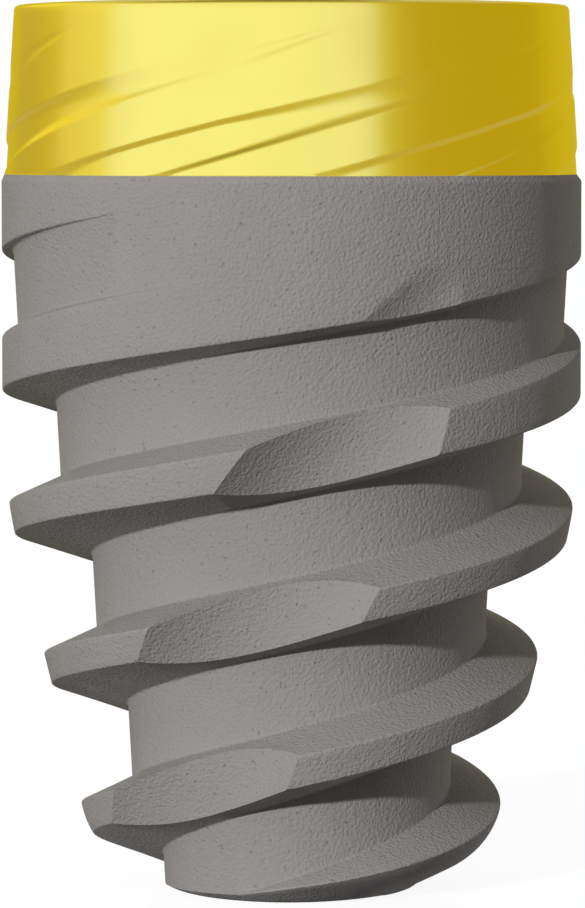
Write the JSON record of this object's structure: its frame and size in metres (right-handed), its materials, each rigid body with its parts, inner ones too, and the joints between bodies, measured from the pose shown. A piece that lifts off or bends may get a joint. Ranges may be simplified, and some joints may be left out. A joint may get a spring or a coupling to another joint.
{
  "type": "dental implant fixture",
  "caption": "Tapered screw-form dental implant with a smooth collar, deep buttress-like thread, helical cutting flutes and a conical-hexagon socket above a threaded bore.",
  "frame": {"origin": "centre of the flat apex, on the implant's axis", "axes": "+Z along the axis from the apex to the platform; -Y is the side the picture shows, +X is to its right"},
  "size_m": [0.0054, 0.0054, 0.0084],
  "materials": {
    "blasted_titanium": "matte"
  },
  "bodies": {
    "root": {"implant_fixture": "blasted_titanium"}
  },
  "joints": []
}
